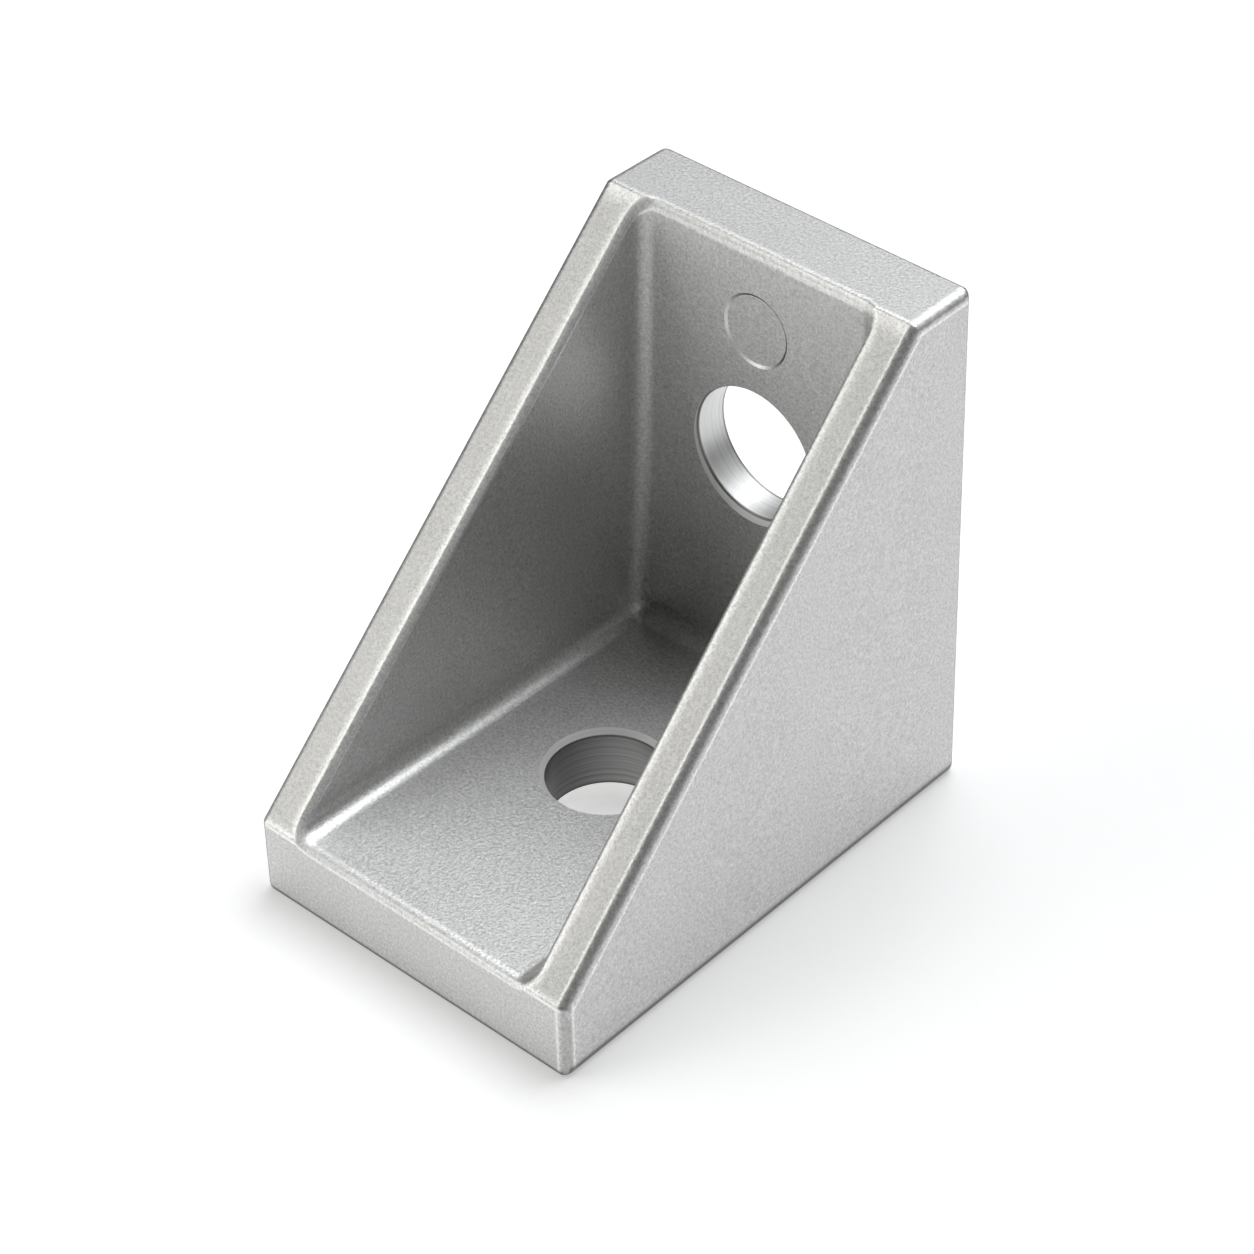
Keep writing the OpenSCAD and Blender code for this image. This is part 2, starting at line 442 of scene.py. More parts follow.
    def round_levels(self, radius: float, turn: float) -> list[float]:
        """Depths below one face at which a round edge's rows start on the next face.

        Args:
            radius: Radius of the edge.
            turn: Angle between the two outward directions.

        Returns:
            Depths below the first face: three rows on the flat beside the edge, then those of the rounding.
        """
        angles = [turn / 2 * step / self.edge_steps for step in range(self.edge_steps)]
        reach = [radius * (math.tan(turn / 2) - math.tan(angle)) for angle in angles]
        beside = [reach[0] + self.row_gap * share for share in (5.0, 2.2, 0.9)]
        return [math.sin(turn) * distance for distance in beside + reach]

    def cut_planes(self) -> list[tuple[Vector, Vector, list[float]]]:
        """The faces with round edges beside them: a point, the inward direction and the depths to cut."""
        square = math.pi / 2
        side = self.round_levels(self.side_edge, square)
        cross = self.round_levels(self.cross_edge, square) + side
        rim = self.round_levels(self.rim_edge, square)
        at_toe = self.round_levels(self.cross_edge, math.acos(-self.slope_out[1]))
        at_top = self.round_levels(self.cross_edge, math.acos(self.slope_out[2]))
        ends = [11 * self.row_gap, 7 * self.row_gap]
        slope_in = -Vector(self.slope_out)
        mouth = Vector((0, self.front, self.base_thickness))
        lean_out = Vector((0, math.cos(self.face_lean), -math.sin(self.face_lean)))
        planes = [
            (Vector((0, self.front, 0)), Vector((0, 1, 0)), cross + at_toe + ends),
            (Vector((0, 0, 0)), Vector((0, 0, 1)), cross),
            (Vector((0, self.back, 0)), Vector((0, -1, 0)), cross),
            (Vector((0, 0, self.height)), Vector((0, 0, -1)), cross + at_top + ends),
            (mouth, slope_in, side + rim + at_toe + at_top),
            (mouth, Vector((0, 0, -1)), rim),
            (Vector((0, self.inner_face(0), 0)), lean_out, rim),
        ]
        for hand in (-1, 1):
            inward = Vector((-hand * math.cos(self.side_draft), -math.sin(self.side_draft), 0))
            outer = Vector((hand * self.half_width(0), 0, 0))
            inner = Vector((hand * self.half_width(0, self.wall_thickness), 0, 0))
            planes.append((outer, inward, side))
            planes.append((inner, -inward, rim))
        return planes

    def corner_regions(self) -> list[tuple[Vector, Vector]]:
        """Boxes round the four corners of the mouth, each as its lowest and its highest corner."""
        reach = 2 * self.pocket_fillet
        spare = self.rim_edge + self.cross_edge
        toe_y, toe_z = self.front, self.base_thickness
        top_y, top_z = self.inner_face(self.height), self.height
        toe = (toe_y - spare, toe_y + reach, toe_z - spare, toe_z + reach)
        top = (top_y - reach, top_y + spare, top_z - reach, top_z + spare)
        boxes = []
        for low_y, high_y, low_z, high_z in (toe, top):
            wall = self.half_width((low_y + high_y) / 2, self.wall_thickness)
            for hand in (-1, 1):
                ends = sorted((hand * (wall - reach), hand * (wall + spare)))
                boxes.append((Vector((ends[0], low_y, low_z)), Vector((ends[1], high_y, high_z))))
        return boxes

    def add_rows(self, body: bpy.types.Object) -> None:
        """Cuts the faces beside every rounded edge into rows, and the mouth's corners into a fine grid."""
        work = bmesh.new()
        work.from_mesh(body.data)
        for point, inward, depths in self.cut_planes():
            for depth in depths:
                slice_mesh(work, point + inward * depth, inward)
        for low, high in self.corner_regions():
            steps = [Vector([float(axis == other) for other in range(3)]) for axis in range(3)]
            for step in steps:
                slice_mesh(work, low, step)
                slice_mesh(work, high, step)
            for step in steps:
                reach = step.dot(high - low)
                count = round(reach / self.corner_cell)
                for index in range(1, count):
                    slice_mesh(work, low + step * reach * index / count, step, (low, high))
        bmesh.ops.remove_doubles(work, verts=work.verts, dist=self.scaffold_gap / 4)
        bmesh.ops.dissolve_degenerate(work, edges=work.edges, dist=self.scaffold_gap / 4)
        work.to_mesh(body.data)
        work.free()

    def fit_to_form(self, points: Array, rounds: int = 12) -> Array:
        """Moves points that lie close to the true rounded form onto it.

        Args:
            points: One row for each point.
            rounds: How many times the points step towards the form.

        Returns:
            The moved points.
        """
        for _ in range(rounds):
            uphill = self.outward(points)
            steepness = np.maximum((uphill**2).sum(axis=1), 0.25)
            points = points - uphill * (self.above_metal(points) / steepness)[:, None]
        return points

    def build(self) -> bpy.types.Object:
        """Makes the casting, before its bores and reliefs."""
        body = carve(self.sharp_block(), [self.pocket_core()])
        self.add_rows(body)
        points = self.fit_to_form(corner_places(body.data))
        body.data.vertices.foreach_set("co", points.astype(np.float32).ravel())
        body.data.update()
        LOG.info("casting: %d corners, all on the rounded form", len(points))
        return body

    def on_form(self, points: Array) -> Array:
        """Tells for each point whether it lies on the casting's own surface."""
        return np.abs(self.above_metal(points)) < self.surface_reach

    def fillet_highlight(self, points: Array) -> Array:
        """How much painted highlight the fillets beside the floor carry, most at the toe."""
        radius = self.pocket_fillet
        above_floor = points[:, 2] - self.base_thickness
        off_wall = self.half_width(points[:, 1], self.wall_thickness) - np.abs(points[:, 0])
        corner = np.clip(1 - above_floor / radius, 0, 1) * np.clip(1 - off_wall / radius, 0, 1)
        reach = np.clip(1 - (points[:, 1] - self.front) / (self.highlight_reach * self.length), 0, 1)
        in_pocket = np.abs(self.outside_pocket(points)) < self.surface_reach
        return in_pocket * np.clip(2 * corner, 0, 1) * reach

    def edge_light_paint(self, points: Array) -> dict[str, Array]:
        """Tells where the edges carry painted highlights and painted shade.

        Args:
            points: One row for each point.

        Returns:
            The painted highlight, the painted shade and the painted matte highlight at each point by name, from
            0 to 1.
        """
        toe = self.front - points[:, 1]
        slope = self.above_slope(points)
        top = points[:, 2] - self.height
        back = points[:, 1] - self.back
        under = -points[:, 2]
        pocket = -self.outside_pocket(points)
        left, right = (self.above_side(points, hand) for hand in (-1, 1))
        cross, side, rim = self.cross_edge, self.side_edge, self.rim_edge
        toe_cosine, top_cosine = -self.slope_out[1], self.slope_out[2]
        # Only the left rim's slope counts here, as the right one's inner edge gets its painted highlight
        # another way
        left_slope = np.where(points[:, 0] < 0, slope, -1.0)
        edges = [
            # Painted highlights along the rims and the edges towards the light, with a painted dark middle on
            # the toe's right edge
            EdgeLightPaint(toe, slope, cross, toe_cosine, line=1.0, band=0.9, spill=0.7, spill_on_first=False),
            EdgeLightPaint(slope, top, cross, top_cosine, line=1.0, band=0.9, spill=0.9, spill_width=0.9 * MM),
            EdgeLightPaint(left_slope, pocket, rim, band=0.7, matte_highlight=1.0),
            EdgeLightPaint(toe, pocket, rim, line=1.0, band=0.8),
            EdgeLightPaint(top, pocket, rim, line=1.0, band=0.8),
            EdgeLightPaint(slope, pocket, rim, line=1.0, spill=0.9),
            EdgeLightPaint(slope, right, side, line=1.0, band=0.3, matte_highlight=0.3),
            EdgeLightPaint(toe, right, side, line=1.0, painted_shade=0.4, shade_start=0.1),
            EdgeLightPaint(top, right, side, line=1.0, band=0.9),
            # Painted shade: dark outlines along the back and left edges, and a painted contact shadow along the
            # bottom edges
            EdgeLightPaint(top, back, cross, painted_shade=1.0),
            EdgeLightPaint(toe, under, cross, painted_shade=1.0, shade_start=-0.2, shade_spill=0.8),
            EdgeLightPaint(right, back, side, painted_shade=1.0),
            EdgeLightPaint(right, under, side, painted_shade=1.0, shade_start=-0.2, shade_spill=0.8),
            EdgeLightPaint(slope, left, side, painted_shade=1.0),
            EdgeLightPaint(toe, left, side, painted_shade=1.0),
            EdgeLightPaint(top, left, side, painted_shade=1.0),
        ]
        light_paint = {
            "painted_highlight": [edge.highlight_paint() for edge in edges] + [self.fillet_highlight(points)],
            "painted_shade": [edge.shade_band() for edge in edges],
            "matte_highlight": [edge.matte_highlight_band() for edge in edges],
        }
        here = self.on_form(points)
        return {name: here * np.max(fields, axis=0) for name, fields in light_paint.items()}

    def finish_surface(self, body: bpy.types.Object) -> None:
        """Marks the painted highlights and painted shade on the edges and gives every face corner its shading
        direction.
        """
        mesh = body.data
        split_large_faces(mesh)
        points = corner_places(mesh)
        for name, values in self.edge_light_paint(points).items():
            layer = mesh.attributes.new(name, "FLOAT", "POINT")
            layer.data.foreach_set("value", values.astype(np.float32))
        uphill = self.outward(points)
        uphill /= np.maximum(np.linalg.norm(uphill, axis=1), 1e-9)[:, None]
        shade_corners(mesh, np.where(self.on_form(points)[:, None], uphill, 0.0))


class Side(Enum):
    """The two plates that carry a bore."""

    BASE = "base_bore"
    UPRIGHT = "upright_bore"


@dataclass
class TurnedBore:
    """A bore that was turned after casting, with a chamfer at its inner mouth and fine turning rings."""

    name: str
    mouth: Vector
    axis: Vector
    radius: float
    depth: float
    chamfer: float
    ring_start: float = 1.3
    ring_pitch: float = 0.22 * MM
    ring_depth: float = 0.006 * MM
    segments: int = 96

    def ring_tree(self) -> bpy.types.NodeTree:
        """Builds the Geometry Nodes tree of a turned bore's cutter.

        Returns:
            The tree, whose inputs are the sizes of the bore.
        """
        tree = bpy.data.node_groups.new("turned_bore", "GeometryNodeTree")
        for label in ("Radius", "Depth", "Chamfer", "Overrun", "Ring Pitch", "Ring Depth", "Ring Start"):
            tree.interface.new_socket(label, in_out="INPUT", socket_type="NodeSocketFloat")
        tree.interface.new_socket("Segments", in_out="INPUT", socket_type="NodeSocketInt")
        tree.interface.new_socket("Finish", in_out="INPUT", socket_type="NodeSocketMaterial")
        tree.interface.new_socket("Geometry", in_out="OUTPUT", socket_type="NodeSocketGeometry")
        build = NodeBench(tree)
        sizes = build.add("NodeGroupInput")
        reach = build.maths("ADD", build.maths("MULTIPLY", sizes["Overrun"], 2.0), sizes["Depth"])
        half_pitch = build.maths("DIVIDE", sizes["Ring Pitch"], 2.0)
        rows = build.maths("ROUND", build.maths("DIVIDE", reach, half_pitch))
        rod = build.add("GeometryNodeMeshCylinder", {
            "Vertices": sizes["Segments"], "Side Segments": rows, "Radius": 1.0, "Depth": reach,
        })
        place = build.add("GeometryNodeInputPosition")
        split = build.add("ShaderNodeSeparateXYZ", {"Vector": place["Position"]})
        # Height above the mouth face, which lies one overrun below the rod's top
        half_reach = build.maths("DIVIDE", reach, 2.0)
        height = build.maths("SUBTRACT", build.maths("ADD", split["Z"], sizes["Overrun"]), half_reach)
        flare = build.maths("MAXIMUM", build.maths("ADD", height, sizes["Chamfer"]), 0.0)
        row = build.maths("DIVIDE", build.maths("ADD", split["Z"], half_reach), half_pitch)
        row = build.maths("ROUND", row)
        odd = build.maths("FLOORED_MODULO", row, 2.0)
        ring_top = build.maths("MULTIPLY", sizes["Chamfer"], sizes["Ring Start"])
        in_wall = build.maths("LESS_THAN", build.maths("ADD", height, ring_top), 0.0)
        groove = build.maths("MULTIPLY", build.maths("MULTIPLY", odd, sizes["Ring Depth"]), in_wall)
        radius = build.maths("ADD", build.maths("ADD", sizes["Radius"], flare), groove)
        moved = build.add("ShaderNodeCombineXYZ", {
            "X": build.maths("MULTIPLY", split["X"], radius),
            "Y": build.maths("MULTIPLY", split["Y"], radius),
            "Z": height,
        })
        shaped = build.add("GeometryNodeSetPosition", {"Geometry": rod["Mesh"], "Position": moved["Vector"]})
        real = build.add("GeometryNodeRealizeInstances", {"Geometry": shaped["Geometry"]})
        dressed = build.add("GeometryNodeSetMaterial", {
            "Geometry": real["Geometry"], "Material": sizes["Finish"],
        })
        build.add("NodeGroupOutput", {"Geometry": dressed["Geometry"]})
        return tree

    def cutter(self, finish: bpy.types.Material, overrun: float = 1.1 * MM) -> bpy.types.Object:
        """Makes the solid that is cut out of the plate.

        Args:
            finish: Material of the bore's wall.
            overrun: How far the cutter stands out of the plate at each end.

        Returns:
            The cutter.
        """
        tool = link(self.name, bpy.data.meshes.new(self.name))
        maker = tool.modifiers.new("turned_bore", "NODES")
        maker.node_group = self.ring_tree()
        values = {
            "Radius": self.radius, "Depth": self.depth, "Chamfer": self.chamfer, "Overrun": overrun,
            "Ring Pitch": self.ring_pitch, "Ring Depth": self.ring_depth, "Ring Start": self.ring_start,
            "Segments": self.segments, "Finish": finish,
        }
        for socket in maker.node_group.interface.items_tree:
            if socket.in_out == "INPUT":
                maker[socket.identifier] = values[socket.name]
        return stand(settled(tool), self.mouth, self.axis.to_track_quat("Z", "Y").to_matrix())


@dataclass
class CoredRelief:
    """A shallow recess with rounded corners that lightens a plate behind its bore."""

    name: str
    centre: Vector
    outward: Vector
    width: float
    length: float
    depth: float
    corner: float = 2.5 * MM
    rim: float = 0.2 * MM
    buried: float = 0.6 * MM
    steps: int = 6

    def outline(self, grow: float, height: float) -> list[Vector]:
        """One closed ring of the recess, grown by a margin, at a height above the plate's face."""
        points = []
        for quarter in range(4):
            for step in range(self.steps + 1):
                angle = math.pi / 2 * (quarter + step / self.steps)
                sign_x = 1 if quarter in (0, 3) else -1
                sign_y = 1 if quarter in (0, 1) else -1
                reach = self.corner + grow
                points.append(Vector((
                    sign_x * (self.width / 2 - self.corner) + reach * math.cos(angle),
                    sign_y * (self.length / 2 - self.corner) + reach * math.sin(angle),
                    height,
                )))
        return points

    def rings(self) -> list[list[Vector]]:
        """The recess from above its mouth down to its floor."""
        angles = [math.pi / 2 * step / self.steps for step in range(self.steps + 1)]
        rim_rings = [(self.rim * (1 - math.sin(a)), -self.rim * (1 - math.cos(a))) for a in angles]
        floor = self.buried - self.depth
        floor_rings = [(-self.buried * (1 - math.cos(a)), floor - self.buried * math.sin(a)) for a in angles]
        return [self.outline(grow, height) for grow, height in [(self.rim, MM), *rim_rings, *floor_rings]]

    def cutter(self, finish: bpy.types.Material) -> bpy.types.Object:
        """Makes the solid that is cut out of the plate."""
        tool = loft(self.name, self.rings())
        tool.data.materials.append(finish)
        side = Vector((1, 0, 0))
        return stand(tool, self.centre, Matrix((side, self.outward.cross(side), self.outward)).transposed())


@dataclass
class EjectorMark:
    """The shallow round mark that an ejector pin left on the upright's inner face."""

    centre: Vector
    outward: Vector
    radius: float = 2.53 * MM
    depth: float = 0.12 * MM
    overrun: float = 0.4 * MM
    slant: float = 1.6
    segments: int = 96

    def cutter(self, finish: bpy.types.Material) -> bpy.types.Object:
        """Makes the solid that is cut out of the upright's inner face."""
        levels = [(self.slant * (self.depth + self.overrun), self.overrun), (0.0, -self.depth)]
        angles = [2 * math.pi * index / self.segments for index in range(self.segments)]
        tool = loft("ejector_mark", [
            [((self.radius + grow) * math.cos(a), (self.radius + grow) * math.sin(a), height) for a in angles]
            for grow, height in levels
        ])
        tool.data.materials.append(finish)
        tool.data.materials.append(MarkRim(self.centre, self.radius).material())
        for face in tool.data.polygons:
            face.material_index = int(len(face.vertices) == 4)
        return stand(tool, self.centre, self.outward.to_track_quat("Z", "Y").to_matrix())


class NodeBench:
    """Adds nodes to a tree and joins them, left to right."""

    def __init__(self, tree: bpy.types.NodeTree) -> None:
        """Starts on a tree."""
        self.tree = tree

    @classmethod
    def for_material(cls, name: str) -> tuple[bpy.types.Material, "NodeBench"]:
        """Starts a material and a bench for its nodes."""
        material = bpy.data.materials.new(name)
        material.use_nodes = True
        return material, cls(material.node_tree)

    def surface(self, inputs: dict) -> None:
        """Joins outputs to the material's own surface shader, or sets its values."""
        self.feed(self.tree.nodes["Principled BSDF"], inputs)

    def add(self, kind: str, inputs: dict | None = None, **settings: object) -> bpy.types.NodeOutputs:
        """Adds one node.

        Args:
            kind: The node's type.
            inputs: What goes into its sockets, by name or number: another node's output or a value.
            settings: The node's own settings.

        Returns:
            The node's outputs.
        """
        node = self.tree.nodes.new(kind)
        for name, value in settings.items():
            setattr(node, name, value)
        self.feed(node, inputs or {})
        return node.outputs

    def maths(self, operation: str, *values: object) -> Socket:
        """Adds a Math node and gives its result."""
        return self.add("ShaderNodeMath", dict(enumerate(values)), operation=operation)["Value"]

    def vectors(self, operation: str, first: object, second: object) -> Socket:
        """Adds a Vector Math node for two vectors and gives its result."""
        outputs = self.add("ShaderNodeVectorMath", {0: first, 1: second}, operation=operation)
        return outputs["Value" if operation == "DOT_PRODUCT" else "Vector"]

    def attribute(self, name: str) -> Socket:
        """Reads a number that the mesh holds at each point."""
        return self.add("ShaderNodeAttribute", attribute_name=name)["Fac"]

    def noise(self, place: Socket, scale: float, detail: float, roughness: float) -> Socket:
        """Adds a noise texture and gives its value."""
        inputs = {"Vector": place, "Scale": scale, "Detail": detail, "Roughness": roughness}
        return self.add("ShaderNodeTexNoise", inputs)["Fac"]

    def line_noise(self, depth: Socket, scale: float, detail: float) -> Socket:
        """Adds a noise along one line and gives its value."""
        inputs = {"W": depth, "Scale": scale, "Detail": detail}
        return self.add("ShaderNodeTexNoise", inputs, noise_dimensions="1D")["Fac"]

    def spread(self, value: Socket, low: float, high: float) -> Socket:
        """Stretches a span of values to the range from 0 to 1."""
        return self.add("ShaderNodeMapRange", {"Value": value, "From Min": low, "From Max": high})["Result"]

    def swing(self, value: Socket, middle: float, width: float) -> Socket:
        """Turns a value from 0 to 1 into one that swings round a middle."""
        return self.maths("MULTIPLY_ADD", value, width, middle - width / 2)

    def relief(self, height: Socket, depth: float) -> Socket:
        """Adds a bump of a real depth and gives its shading direction."""
        return self.add("ShaderNodeBump", {"Distance": depth, "Strength": 1.0, "Height": height})["Normal"]

    def place(self) -> Socket:
        """The place of the shaded point on the object."""
        return self.add("ShaderNodeTexCoord")["Object"]

    def line_at(self, value: Socket, place: float, width: float) -> Socket:
        """Gives 1 where a value passes a place and 0 farther than a width from it."""
        apart = self.maths("ABSOLUTE", self.maths("SUBTRACT", value, place))
        inputs = {"Value": apart, "From Min": 0.5 * width, "From Max": width, "To Min": 1.0, "To Max": 0.0}
        return self.add("ShaderNodeMapRange", inputs, interpolation_type="SMOOTHSTEP")["Result"]

    def between(self, share: object, first: object, second: object) -> Socket:
        """Blends two values."""
        return self.add("ShaderNodeMix", {0: share, 2: first, 3: second}, data_type="FLOAT")[0]

    def blend(self, share: object, first: object, second: object) -> Socket:
        """Blends two colours."""
        return self.add("ShaderNodeMix", {0: share, 6: first, 7: second}, data_type="RGBA")[2]

    def scale_colour(self, colour: object, factor: Socket) -> Socket:
        """Multiplies a colour by a factor."""
        return self.add("ShaderNodeVectorMath", {0: colour, "Scale": factor}, operation="SCALE")["Vector"]

    def group(self, tree: bpy.types.NodeTree, inputs: dict) -> bpy.types.NodeOutputs:
        """Adds a node group."""
        node = self.tree.nodes.new("ShaderNodeGroup")
        node.node_tree = tree
        self.feed(node, inputs)
        return node.outputs

    def feed(self, node: bpy.types.Node, inputs: dict) -> None:
        """Joins outputs to a node's inputs, or sets their values."""
        for key, value in inputs.items():
            if isinstance(value, Socket):
                self.tree.links.new(value, node.inputs[key])
            else:
                node.inputs[key].default_value = value


def shared_group(
    name: str, inputs: dict[str, str], outputs: Sequence[str]
) -> tuple[bpy.types.NodeTree, bool]:
    """Finds or starts a shader node group.

    Args:
        name: The group's name.
        inputs: Socket names and the kinds of the group's inputs.
        outputs: Socket names of its outputs, which are all numbers.

    Returns:
        The group, and whether it is new and still has to be filled.
    """
    tree = bpy.data.node_groups.get(name)
    if tree is not None:
        return tree, False
    tree = bpy.data.node_groups.new(name, "ShaderNodeTree")
    for label, kind in inputs.items():
        tree.interface.new_socket(label, in_out="INPUT", socket_type=kind)
    for label in outputs:
        tree.interface.new_socket(label, in_out="OUTPUT", socket_type=NUMBER)
    return tree, True


NUMBER = "NodeSocketFloat"
PLACE = "NodeSocketVector"
PIT_SCALE, SPECK_SCALE, CLOUD_SCALE = 4200.0, 7800.0, 260.0
DRIFT_SCALE, COARSE_SCALE, FINE_SCALE = 300.0, 3600.0, 14000.0
LINE_DRIFT = 0.12 * MM


def blast_grain() -> bpy.types.NodeTree:
    """The grain that glass beads leave on aluminium: fine pits, specks and faint clouds, each from 0 to 1."""
    tree, empty = shared_group("blast_grain", {"Place": PLACE}, ["Pits", "Specks", "Clouds"])
    if empty:
        build = NodeBench(tree)
        place = build.add("NodeGroupInput")["Place"]
        pits = build.noise(place, PIT_SCALE, detail=2.0, roughness=0.7)
        fine = build.noise(place, SPECK_SCALE, detail=1.0, roughness=0.5)
        mixed = build.maths("ADD", build.maths("MULTIPLY", pits, 0.6), build.maths("MULTIPLY", fine, 0.4))
        specks = build.spread(mixed, 0.3, 0.7)
        clouds = build.spread(build.noise(place, CLOUD_SCALE, detail=3.0, roughness=0.6), 0.25, 0.75)
        build.add("NodeGroupOutput", {"Pits": pits, "Specks": specks, "Clouds": clouds})
    return tree


def turning_lines() -> bpy.types.NodeTree:
    """The rings that a cutting edge leaves round a bore, from the depth along its axis, each from 0 to 1."""
    tree, empty = shared_group("turning_lines", {"Depth": NUMBER, "Place": PLACE}, ["Coarse", "Fine"])
    if empty:
        build = NodeBench(tree)
        sockets = build.add("NodeGroupInput")
        drift = build.noise(sockets["Place"], DRIFT_SCALE, detail=1.0, roughness=0.5)
        depth = build.maths("ADD", sockets["Depth"], build.maths("MULTIPLY", drift, LINE_DRIFT))
        coarse = build.spread(build.line_noise(depth, COARSE_SCALE, detail=2.0), 0.3, 0.7)
        fine = build.spread(build.line_noise(depth, FINE_SCALE, detail=2.0), 0.25, 0.75)
        build.add("NodeGroupOutput", {"Coarse": coarse, "Fine": fine})
    return tree


@dataclass(frozen=True)
class CastSkin:
    """Bead-blasted cast aluminium, satin and finely grained, with painted highlights and painted shade along
    its edges.
    """

    name: str = "cast_aluminium"
    colour: Colour = (0.66, 0.66, 0.652)
    # The pale edge colour paints highlights and the near-black one paints shade along the edges; the matte
    # metal share paints highlight too
    edge_highlight_colour: Colour = (0.96, 0.96, 0.95)
    painted_shade_colour: Colour = (0.08, 0.08, 0.078)
    roughness: float = 0.5
    highlight_roughness: float = 0.4
    highlight_share: float = 0.85
    painted_shade_share: float = 0.75
    matte_highlight_metal: float = 0.3
    speck_share: float = 0.56
    cloud_share: float = 0.05
    rough_swing: float = 0.08
    pit_depth: float = 0.03 * MM

    def material(self) -> bpy.types.Material:
        """Builds the finish."""
        material, build = NodeBench.for_material(self.name)
        place = build.place()
        grain = build.group(blast_grain(), {"Place": place})
        # Painted highlights and painted shade, read from the mesh's edge attributes
        painted_highlight = build.maths("MULTIPLY", build.attribute("painted_highlight"), self.highlight_share)
        painted_shade = build.maths("MULTIPLY", build.attribute("painted_shade"), self.painted_shade_share)
        colour = build.blend(painted_highlight, (*self.colour, 1), (*self.edge_highlight_colour, 1))
        colour = build.blend(painted_shade, colour, (*self.painted_shade_colour, 1))
        speck = build.swing(grain["Specks"], 1.0, self.speck_share)
        cloud = build.swing(grain["Clouds"], 1.0, self.cloud_share)
        shade = build.scale_colour(colour, build.maths("MULTIPLY", speck, cloud))
        rough = build.swing(grain["Specks"], self.roughness, self.rough_swing)
        build.surface({
            "Base Color": shade,
            "Metallic": build.between(build.attribute("matte_highlight"), 1.0, self.matte_highlight_metal),
            "Roughness": build.between(painted_highlight, rough, self.highlight_roughness),
            "Normal": build.relief(grain["Pits"], self.pit_depth),
        })
        return material


@dataclass(frozen=True)
class TurnedFinish:
    """The bare wall of a turned bore: painted highlight lips and painted light on its chamfer, painted shade
    lines at its groove and its end.
    """

    bore: TurnedBore
    end: float
    groove: float
    colour: Colour
    coarse_share: float
    roughness: float
    side_shade: float = 0.0
    # Painted light: the pale chamfer colour and the bright lip colour are painted highlights, the dark colour
    # paints shade lines
    chamfer_highlight_colour: Colour = (0.92, 0.92, 0.91)
    bright: Colour = (0.97, 0.97, 0.96)
    shade_line_colour: Colour = (0.06, 0.06, 0.058)
    shade_line_share: float = 0.65
    fine_share: float = 0.35
    highlight_metal: float = 0.1
    rough_swing: float = 0.1
    line_width: float = 0.12 * MM
    groove_width: float = 0.13 * MM
    end_width: float = 0.195 * MM
    scratch_depth: float = 0.003 * MM

    def material(self) -> bpy.types.Material:
        """Builds the finish."""
        bore = self.bore
        material, build = NodeBench.for_material(f"turned_{bore.name}")
        place = build.place()
        away = build.vectors("SUBTRACT", place, bore.mouth)
        depth = build.vectors("DOT_PRODUCT", away, -bore.axis)
        across = build.add("ShaderNodeSeparateXYZ", {0: away})["X"]
        rings = build.group(turning_lines(), {"Depth": depth, "Place": place})
        grain = build.group(blast_grain(), {"Place": place})
        streaks = build.maths("MULTIPLY", build.swing(rings["Coarse"], 1.0, self.coarse_share),
                              build.swing(rings["Fine"], 1.0, self.fine_share))
        # Painted shade, darker towards the bore's sides
        shading = build.maths("MULTIPLY_ADD", build.maths("MULTIPLY", across, across),
                              -self.side_shade / bore.radius**2, 1.0)
        plain = build.scale_colour(self.colour, build.maths("MULTIPLY", streaks, shading))
        # The chamfer is painted light, its lips painted highlight lines, and the groove and end lines painted
        # shade
        on_chamfer = build.maths("LESS_THAN", depth, bore.chamfer)
        lip_highlights = build.maths("MAXIMUM", build.line_at(depth, self.line_width / 2, self.line_width),
                           build.line_at(depth, bore.chamfer, self.line_width))
        lines = build.maths("MAXIMUM", build.line_at(depth, self.groove, self.groove_width),
                            build.line_at(depth, self.end, self.end_width))
        shade = build.blend(on_chamfer, plain, (*self.chamfer_highlight_colour, 1))
        shade = build.blend(lip_highlights, shade, (*self.bright, 1))
        shade = build.blend(build.maths("MULTIPLY", lines, self.shade_line_share), shade, (*self.shade_line_colour, 1))
        metal = build.between(build.maths("MAXIMUM", on_chamfer, lip_highlights), 1.0, self.highlight_metal)
        height = build.maths("MULTIPLY_ADD", rings["Fine"], 0.7, build.maths("MULTIPLY", grain["Pits"], 0.3))
        build.surface({
            "Base Color": shade,
            "Metallic": build.between(lines, metal, 1.0),
            "Roughness": build.swing(rings["Coarse"], self.roughness, self.rough_swing),
            "Normal": build.relief(height, self.scratch_depth),
        })
        return material


@dataclass(frozen=True)
class MarkRim:
    """The slanted rim of the ejector mark, with a painted highlight at its lower left and painted shade at its
    upper right.
    """

    centre: Vector
    radius: float
    name: str = "mark_rim_painted_light"
    lit_way: Point = (-0.8, 0.0, -0.6)
    bright: Colour = (0.97, 0.97, 0.96)
    painted_shade: Colour = (0.14, 0.14, 0.138)
    speck_share: float = 0.2
    roughness: float = 0.5

    def material(self) -> bpy.types.Material:
        """Builds the finish."""
        material, build = NodeBench.for_material(self.name)
        place = build.place()
        grain = build.group(blast_grain(), {"Place": place})
        # Painted light and shade across the rim: bright towards the lower left, dark towards the upper right
        side = build.vectors("DOT_PRODUCT", build.vectors("SUBTRACT", place, self.centre), self.lit_way)
        share = build.spread(side, -self.radius / 2, self.radius / 2)
        colour = build.blend(share, (*self.painted_shade, 1), (*self.bright, 1))
        build.surface({
            "Base Color": build.scale_colour(colour, build.swing(grain["Specks"], 1.0, self.speck_share)),
            "Metallic": 1.0,
            "Roughness": self.roughness,
        })
        return material


